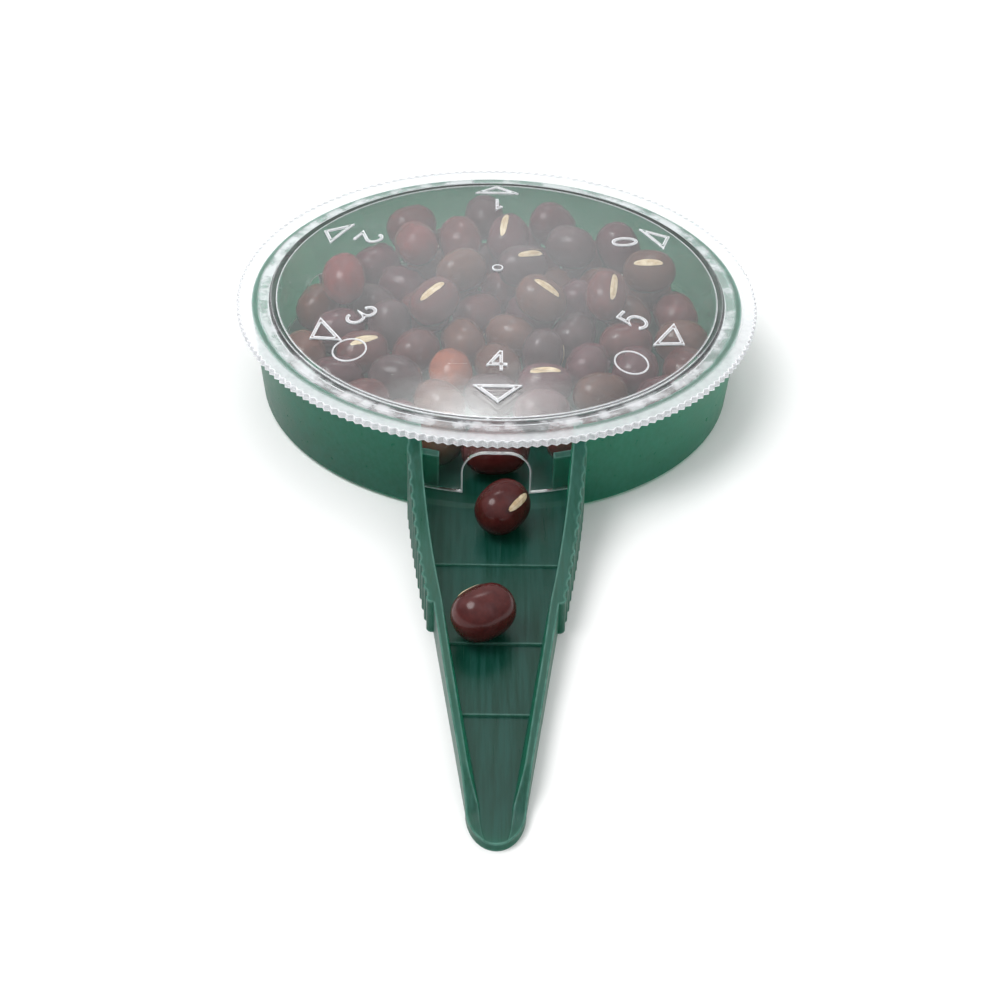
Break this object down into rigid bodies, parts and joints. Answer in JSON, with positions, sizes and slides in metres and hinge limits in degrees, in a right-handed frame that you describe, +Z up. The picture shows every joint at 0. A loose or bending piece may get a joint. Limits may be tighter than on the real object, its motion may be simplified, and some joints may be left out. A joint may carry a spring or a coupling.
{
  "type": "dial seed sower",
  "caption": "Hand-held seed sower: a round cup under a clear turning dial with gates of rising size, and a long stepped chute that lets seed out one at a time.",
  "frame": {"origin": "on the dial's turning axis, in the flat underside that the sower rests on", "axes": "+Z up, away from the surface it rests on; the chute points along -Y; +X to the right seen from the chute's tip"},
  "size_m": [0.07, 0.1242, 0.0173],
  "materials": {
    "base_plastic": "dark green, semi-gloss, slightly translucent polypropylene",
    "clear_plastic": "clear polystyrene with a slight haze",
    "bean": null
  },
  "bodies": {
    "base": {"base": "base_plastic", "bean_load": "bean", "bean_in_gate": "bean", "bean_past_gate": "bean", "bean_on_chute": "bean"},
    "dial": {"dial": "clear_plastic"}
  },
  "joints": [
    {"name": "dial_turn", "type": "hinge", "parent": "base", "child": "dial", "pos_m": [0, 0, 0.0125], "axis": [0, 0, 1], "continuous": true}
  ]
}
